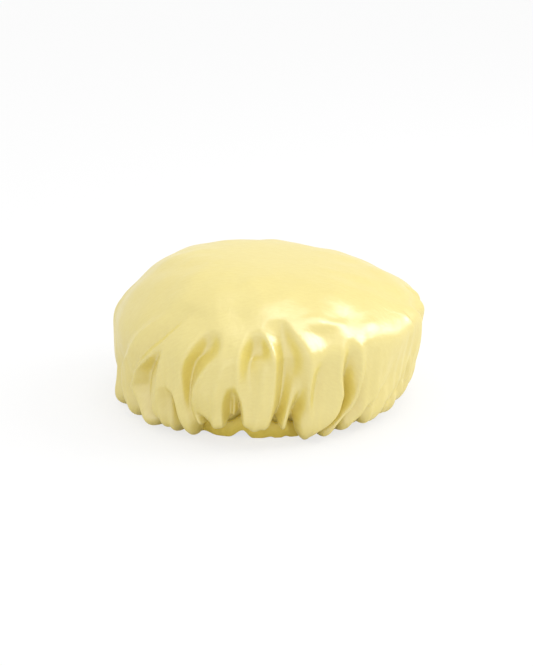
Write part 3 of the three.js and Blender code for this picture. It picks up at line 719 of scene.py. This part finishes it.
def set_up(tree, node, links=(), **values):
    """Gives a node its settings and socket values by name, and by socket its links and values."""
    for key, value in values.items():
        if hasattr(node, key):
            setattr(node, key, value)
        else:
            node.inputs[key.replace("_", " ")].default_value = value
    for key, source in dict(links).items():
        if isinstance(source, bpy.types.NodeSocket):
            tree.links.new(source, node.inputs[key])
        else:
            node.inputs[key].default_value = source
    return node


def add_node(tree, kind, links=(), **values):
    """Sets up a new shader node and gives its outputs."""
    return set_up(tree, tree.nodes.new("ShaderNode" + kind), links, **values).outputs


def texture(tree, kind, vector, **values):
    """The grey value of a noise or wave texture."""
    return add_node(tree, "Tex" + kind, {"Vector": vector}, **values)["Fac"]


def remapped(tree, source, low, high, start, end, **settings):
    """A value, mapped from low..high to start..end."""
    return add_node(tree, "MapRange", {"Value": source}, From_Min=low, From_Max=high,
                    To_Min=start, To_Max=end, **settings)[0]


def mixed_colour(tree, factor, first, second):
    """The first colour where the factor is 0, the second where it is 1."""
    return add_node(tree, "Mix", {"Factor": factor, 6: first, 7: second},
                    data_type="RGBA")[2]


def bumped(tree, *layers):
    """The normal after bumps by height, strength and distance, each on top of the one before."""
    below = {}
    for height, strength, distance in layers:
        bump = add_node(tree, "Bump", {"Height": height, **below}, Strength=strength,
                        Distance=distance)[0]
        below = {"Normal": bump}
    return bump


def shaded(colour, shades):
    """A colour with each channel multiplied by its shade, and full alpha."""
    return (*[channel * shade for channel, shade in zip(colour, shades)], 1)


def satin_material(name, colour, finish, roughness_shift, gloss):
    """Satin: long warp floats along the cut's own grain, slubs, and a slow change of tone.

    Colour = base tone mixed with a deeper one by slow noise and by thread noise. Height = fine
    ribs across the warp plus noise along it, then wrinkles, then the thread noise. The gloss
    stretches across the warp.
    """
    material, tree, shader = node_tree(name)
    uv = add_node(tree, "UVMap", uv_map="UVMap")[0]
    place = add_node(tree, "TexCoord")["Object"]
    warp = add_node(tree, "Mapping", {"Vector": uv}, Scale=(.3, 1, 1))[0]
    ribs = texture(tree, "Wave", uv, bands_direction="X", Distortion=1.2, Detail=1.0,
                   Scale=1 / finish.thread_pitch / pi)
    slubs = texture(tree, "Noise", warp, Scale=1500, Detail=3, Roughness=.62)
    grain = texture(tree, "Noise", warp, Scale=560, Detail=4, Roughness=.6)
    slow = texture(tree, "Noise", place, Scale=26, Detail=3, Roughness=.55)
    wrinkles = texture(tree, "Noise", place, Scale=75, Detail=3, Roughness=.6, Distortion=.6)
    weave = add_node(tree, "Math", {0: ribs, 1: slubs}, operation="ADD")[0]
    tangent = add_node(tree, "Tangent", direction_type="UV_MAP", uv_map="UVMap")[0]
    deeper = shaded(colour, (.93, .90, .78))
    tone = mixed_colour(tree, remapped(tree, slow, .35, .7, 0, .45), (*colour, 1), deeper)
    tone = mixed_colour(tree, remapped(tree, grain, .3, .7, 0, .8), tone, deeper)
    rough = remapped(tree, grain, .3, .7, finish.roughness - .05 + roughness_shift,
                     finish.roughness + .06 + roughness_shift)
    normal = bumped(tree, (weave, .12, .00003), (wrinkles, .5, .0010), (grain, .22, .00010))
    set_up(tree, shader,
           {"Base Color": tone, "Roughness": rough, "Normal": normal, "Tangent": tangent},
           Anisotropic=.55, Specular_IOR_Level=gloss, IOR=2.0, Sheen_Weight=.22,
           Sheen_Roughness=.45, Sheen_Tint=(1, .96, .82, 1))
    return material


def thread_material(name, colour):
    """Twisted sewing thread: slanting ply bands along the stitch."""
    material, tree, shader = node_tree(name)
    uv = add_node(tree, "UVMap", uv_map="UVMap")[0]
    ply = texture(tree, "Wave", uv, bands_direction="DIAGONAL", Scale=900, Distortion=.6)
    tone = mixed_colour(tree, ply, shaded(colour, [.78] * 3), (*colour, 1))
    set_up(tree, shader, {"Base Color": tone, "Normal": bumped(tree, (ply, .6, .00008))},
           Roughness=.5, Sheen_Weight=.2)
    return material


def elastic_material(name, colour):
    """Knitted elastic: cords along its length, crossed by fine loops."""
    material, tree, shader = node_tree(name)
    uv = add_node(tree, "UVMap", uv_map="UVMap")[0]
    cords = texture(tree, "Wave", uv, bands_direction="Y", Scale=280, Distortion=.3)
    loops = texture(tree, "Wave", uv, bands_direction="X", Scale=420, Distortion=1.5)
    knit = add_node(tree, "Math", {0: cords, 1: loops}, operation="MULTIPLY")[0]
    tone = mixed_colour(tree, knit, shaded(colour, [.82] * 3), (*colour, 1))
    set_up(tree, shader, {"Base Color": tone, "Normal": bumped(tree, (knit, .7, .0002))},
           Roughness=.8)
    return material


def relax(piece, share, settings):
    """Lets the cloth settle with air inside, held at the seam and looser below the crown."""
    held = piece.vertex_groups.new(name="held")
    loose = piece.vertex_groups.new(name="loose")
    for group, grows, least in ((held, HELD_RANGE, settings.grip), (loose, LOOSE_RANGE, 0)):
        weights = smoothstep(share.ravel(), *grows) * (1 - least) + least
        steps = np.round(weights * WEIGHT_STEPS) / WEIGHT_STEPS
        for level in np.unique(steps):
            group.add(np.flatnonzero(steps == level).tolist(), float(level), "REPLACE")
    cloth = piece.modifiers.new("settling", "CLOTH")
    for key, value in {
            "quality": 6, "mass": settings.mass, "tension_stiffness": settings.stiffness,
            "compression_stiffness": settings.stiffness, "shear_stiffness": settings.stiffness * .4,
            "bending_stiffness": settings.bending, "tension_damping": 5, "compression_damping": 5,
            "shear_damping": 5, "bending_damping": .5, "air_damping": 2,
            "vertex_group_mass": held.name, "pin_stiffness": 1,
            "vertex_group_shrink": loose.name, "shrink_min": 0,
            "shrink_max": -settings.looseness, "use_pressure": True,
            "uniform_pressure_force": settings.pressure}.items():
        setattr(cloth.settings, key, value)
    cloth.settings.effector_weights.gravity = 0
    cloth.collision_settings.use_collision = False
    cloth.point_cache.frame_start, cloth.point_cache.frame_end = 1, settings.frames
    for number in range(1, settings.frames + 1):
        bpy.context.scene.frame_set(number)
    with bpy.context.temp_override(object=piece, active_object=piece, selected_objects=[piece]):
        bpy.ops.object.modifier_apply(modifier=cloth.name)
    bpy.context.scene.frame_set(1)


def vertex_places(mesh):
    """The places of a mesh's vertices as an array."""
    places = np.empty(3 * len(mesh.vertices))
    mesh.vertices.foreach_get("co", places)
    return places.reshape(-1, 3)


def settle(piece, node):
    """Ties a finished piece to the root body and hides the frame node that it stands for."""
    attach(piece, "root")
    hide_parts(node)


class BONNET_OT_shell(Operator):
    """Makes the gathered outer shell and the lining inside it"""

    bl_idname = "bonnet.make_shell"
    bl_label = "Outer shell and lining"

    def execute(self, context):
        sizes, finish = context.scene.bonnet_sizes, context.scene.bonnet_finish
        satin = satin_material("satin", finish.satin, finish, 0, 1)
        inner = satin_material("lining_satin", finish.lining, finish, .06, .45)
        shell = cloth_disc("shell_satin", sizes, 0, HEM_OFF, satin, 1)
        lining = cloth_disc("lining_satin", sizes, sizes.lining_gap, -HEM_OFF, inner, -1)
        start = vertex_places(shell.data)
        relax(shell, disc_grid(sizes.rings)[0], context.scene.bonnet_settling)
        moved = vertex_places(shell.data) - start
        for cloth, change, lowest in ((shell, 0, SHELL_LOWEST),
                                      (lining, moved, LINING_LOWEST)):
            places = vertex_places(cloth.data) + change
            places[:, 2] = np.maximum(places[:, 2], lowest)
            cloth.data.vertices.foreach_set("co", places.ravel())
            cloth.data.update()
        for piece, slot, node in ((shell, "satin", "outer_shell"),
                                  (lining, "lining_satin", "lining")):
            rounder = piece.modifiers.new("rounder", "SUBSURF")
            rounder.levels = rounder.render_levels = 1
            settle(piece, node)
        return {"FINISHED"}


class BONNET_OT_casing(Operator):
    """Makes the folded satin band round the elastic"""

    bl_idname = "bonnet.make_casing"
    bl_label = "Band casing"

    def execute(self, context):
        finish = context.scene.bonnet_finish
        columns, around = CASING_GRID
        azimuth = np.linspace(0, 2 * pi, columns, endpoint=False)[:, None]
        t = np.linspace(-1, 1, around)[None, :]
        foot = 1 - np.abs(t)
        level = LIP_LEVEL * (1 - np.sin(pi / 2 * foot))
        half = casing_out(azimuth, level) * np.clip(np.abs(t) / FOOT_PART, 0, 1) ** .5
        height = np.maximum(level + band_lift(azimuth) - FOOT_PRESS, 0)
        outer = carried_section(azimuth, np.sign(t) * half, height)
        inner_out = np.sign(t) * np.clip(half - SATIN, 0, None)
        inner = carried_section(azimuth, inner_out[:, ::-1], height[:, ::-1]
                                + SATIN * np.sin(pi / 2 * foot[:, ::-1]) ** 4)
        points = np.concatenate((outer, inner), 1)
        grid = points.shape[:2]
        uv_along = np.broadcast_to(azimuth * GATHER_RADIUS, grid)
        uv_across = np.broadcast_to(np.linspace(0, 60 * MM, grid[1])[None, :], grid)
        # The band's material takes the lighter band colour, painted light over the band's shade.
        piece = make_object("band_casing", points, grid_faces(*grid, True, True),
                            np.stack((uv_along, uv_across), -1),
                            satin_material("band_satin", finish.band, finish, .12, .25))
        settle(piece, "elastic_casing")
        return {"FINISHED"}


class BONNET_OT_elastic(Operator):
    """Makes the elastic strip inside the band, its ends lapped at the back"""

    bl_idname = "bonnet.make_elastic"
    bl_label = "Elastic"

    def execute(self, context):
        finish = context.scene.bonnet_finish
        columns, around = ELASTIC_GRID
        reach = ELASTIC_LAP / 2 / GATHER_RADIUS
        azimuth = np.linspace(pi - reach, 3 * pi + reach, columns)[:, None]
        turn = np.linspace(0, 2 * pi, around, endpoint=False)[None, :]
        from_start = (azimuth - azimuth[0]) * GATHER_RADIUS
        to_end = (azimuth[-1] - azimuth) * GATHER_RADIUS
        step = LAP_STEP * (smoothstep(from_start, ELASTIC_LAP, LAP_RAMP)
                           - smoothstep(to_end, ELASTIC_LAP, LAP_RAMP))
        half_thick, half_wide = ELASTIC_HALF
        out = step + half_thick * squared(np.cos(turn))
        up = ELASTIC_MIDDLE + band_lift(azimuth) - half_wide * squared(np.sin(turn))
        uv = np.stack(np.broadcast_arrays(azimuth * GATHER_RADIUS, turn * 2.2 * MM), -1)
        piece = make_object("elastic_strip", carried_section(azimuth, out, up),
                            tube_faces(columns, around), uv,
                            elastic_material("elastic", finish.elastic))
        settle(piece, "elastic_band")
        return {"FINISHED"}


class BONNET_OT_stitches(Operator):
    """Makes the stitches of the seam, of the elastic's lap and of the band's closing"""

    bl_idname = "bonnet.make_stitches"
    bl_label = "Stitches"

    def execute(self, context):
        sizes, finish = context.scene.bonnet_sizes, context.scene.bonnet_finish
        thread, radius = thread_material("thread", finish.thread), sizes.thread_radius
        count = round(2 * pi * GATHER_RADIUS / sizes.stitch_pitch)
        azimuth = (np.arange(count) + .5) / count * 2 * pi
        step = .25 * sizes.stitch_pitch / GATHER_RADIUS
        for name, side, node in (("needle_stitches", 1, "seam_needle_thread"),
                                 ("bobbin_stitches", -1, "seam_bobbin_thread")):
            before, middle, after = (self.on_casing(azimuth + turn, LIP_LEVEL - SEAM_DROP, side)
                                     for turn in (-step, 0, step))
            piece = stitches(name, middle, after - before, side * outward(azimuth),
                             SEAM_PART * sizes.stitch_pitch, radius, thread)
            settle(piece, node)

        corner = np.arange(ZIGZAG_COUNT + 1)
        azimuth = pi + (corner / ZIGZAG_COUNT - .5) * ZIGZAG_SPAN / GATHER_RADIUS
        level = ELASTIC_MIDDLE + band_lift(azimuth) + np.where(corner % 2, 1, -1) * ZIGZAG_RISE
        path = carried_section(azimuth, LAP_STEP + ELASTIC_HALF[0], level)
        piece = stitches("lap_stitches", (path[1:] + path[:-1]) / 2, path[1:] - path[:-1],
                         outward((azimuth[1:] + azimuth[:-1]) / 2), ZIGZAG_LENGTH, radius, thread)
        settle(piece, "elastic_lap_stitch")

        level = np.array(CLOSING_LEVELS) * MM
        azimuth = np.full(len(level), pi)
        below, middle, above = (self.on_casing(azimuth, level + rise, 1)
                                for rise in (-.4 * MM, 0, .4 * MM))
        piece = stitches("closing_stitches", middle, above - below, outward(azimuth),
                         CLOSING_LENGTH, radius, thread)
        settle(piece, "casing_closing_stitch")
        return {"FINISHED"}

    @staticmethod
    def on_casing(azimuth, level, side):
        """Points on the band's surface at a level, on its outer side (1) or its inner one (-1)."""
        return carried_section(azimuth, side * casing_out(azimuth, level),
                               level + band_lift(azimuth) - FOOT_PRESS)


class BONNET_OT_studio(Operator):
    """Makes the floor, the lights, the world and the camera"""

    bl_idname = "bonnet.make_studio"
    bl_label = "Studio"

    def execute(self, context):
        scene, studio = context.scene, context.scene.bonnet_studio
        scene.view_settings.view_transform = "Standard"
        aim = Vector((RING_CENTRE.x, RING_CENTRE.y, AIM_LEVEL))
        back = Vector((0, -cos(studio.elevation), sin(studio.elevation)))
        camera = add_object("camera", bpy.data.cameras.new("camera"))
        camera.location = aim + back * studio.distance
        camera.rotation_euler = (-back).to_track_quat("-Z", "Y").to_euler()
        camera.data.lens = studio.lens
        (width, height), (x, y) = PHOTO_SIZE, PHOTO_AIM
        camera.data.shift_x = (width / 2 - x) / height
        camera.data.shift_y = (y - height / 2) / height
        scene.camera = camera

        mesh = bpy.data.meshes.new("floor")
        mesh.from_pydata([(x * FLOOR_HALF, y * FLOOR_HALF, 0)
                          for x, y in ((-1, -1), (1, -1), (1, 1), (-1, 1))], [], [(0, 1, 2, 3)])
        floor = add_object("floor", mesh)
        floor.location.z = FLOOR_LEVEL
        material, tree, shader = node_tree("floor")
        seen = self.seen_directly(tree)
        set_up(tree, shader, {"Base Color": remapped(tree, seen, 0, 1, .8, .9)},
               Roughness=.9, Specular_IOR_Level=.1)
        white = add_node(tree, "Emission", Strength=1.0)
        share = add_node(tree, "Math", {0: seen, 1: .72}, operation="MULTIPLY")
        both = add_node(tree, "MixShader",
                        {0: share[0], 1: shader.outputs[0], 2: white[0]})
        set_up(tree, tree.nodes["Material Output"], {"Surface": both[0]})
        mesh.materials.append(material)

        world = scene.world = bpy.data.worlds.new("studio")
        world.use_nodes = True
        tree = world.node_tree
        way = add_node(tree, "TexCoord")["Generated"]
        towards = add_node(tree, "VectorMath", {0: way, 1: BRIGHT_SKY}, operation="DOT_PRODUCT")
        strength = remapped(tree, towards["Value"], -.5, 1, studio.fill, studio.sky,
                            interpolation_type="SMOOTHSTEP")
        fill = set_up(tree, tree.nodes["Background"], {"Strength": strength}, Color=(1, 1, 1, 1))
        backdrop = add_node(tree, "Background", Color=(1, 1, 1, 1), Strength=1.0)
        mixed = add_node(tree, "MixShader", {0: self.seen_directly(tree), 1: fill.outputs[0],
                                             2: backdrop[0]})
        set_up(tree, tree.nodes["World Output"], {"Surface": mixed[0]})

        for name, place, size, setting in LAMPS:
            self.lamp(name, aim + Vector(place), aim, size, getattr(studio, setting))
        return {"FINISHED"}

    @staticmethod
    def seen_directly(tree):
        """1 for what the camera, a mirror or glass sees, and 0 for light that falls on things."""
        path = add_node(tree, "LightPath")
        return add_node(tree, "Math", {0: path["Is Camera Ray"], 1: path["Is Transmission Ray"]},
                        operation="MAXIMUM")[0]

    @staticmethod
    def lamp(name, place, aim, size, power):
        """A soft rectangular lamp that faces the bonnet."""
        light = bpy.data.lights.new(name, "AREA")
        light.shape, light.size, light.size_y, light.energy = "RECTANGLE", *size, power
        lamp = add_object(name, light)
        lamp.location = place
        lamp.rotation_euler = (aim - place).to_track_quat("-Z", "Y").to_euler()


class BONNET_PT_panel(Panel):
    """Lists the bonnet's sizes, colours and pieces"""

    bl_label = "Hair bonnet"
    bl_idname = "BONNET_PT_panel"
    bl_space_type = "VIEW_3D"
    bl_region_type = "UI"
    bl_category = "Bonnet"

    def draw(self, context):
        for name in GROUPS:
            group = getattr(context.scene, name)
            box = self.layout.box()
            for key in group.__annotations__:
                box.prop(group, key)
        for operator in OPERATORS:
            self.layout.operator(operator.bl_idname)


GROUPS = {"bonnet_sizes": BonnetSizes, "bonnet_settling": Settling, "bonnet_finish": SatinFinish,
          "bonnet_studio": Studio}
OPERATORS = (BONNET_OT_elastic, BONNET_OT_casing, BONNET_OT_stitches, BONNET_OT_shell,
             BONNET_OT_studio)


def register():
    """Adds the classes and the scene's settings."""
    for kind in (*GROUPS.values(), *OPERATORS, BONNET_PT_panel):
        bpy.utils.register_class(kind)
    for key, group in GROUPS.items():
        setattr(bpy.types.Scene, key, PointerProperty(type=group))


def unregister():
    """Takes the settings and the classes away again."""
    for key in GROUPS:
        delattr(bpy.types.Scene, key)
    for kind in (BONNET_PT_panel, *reversed(OPERATORS), *reversed(GROUPS.values())):
        bpy.utils.unregister_class(kind)


def main():
    """Registers the classes and builds every piece and the stage."""
    register()
    for operator in OPERATORS:
        group, name = operator.bl_idname.split(".")
        getattr(getattr(bpy.ops, group), name)()


if __name__ == "__main__":
    main()
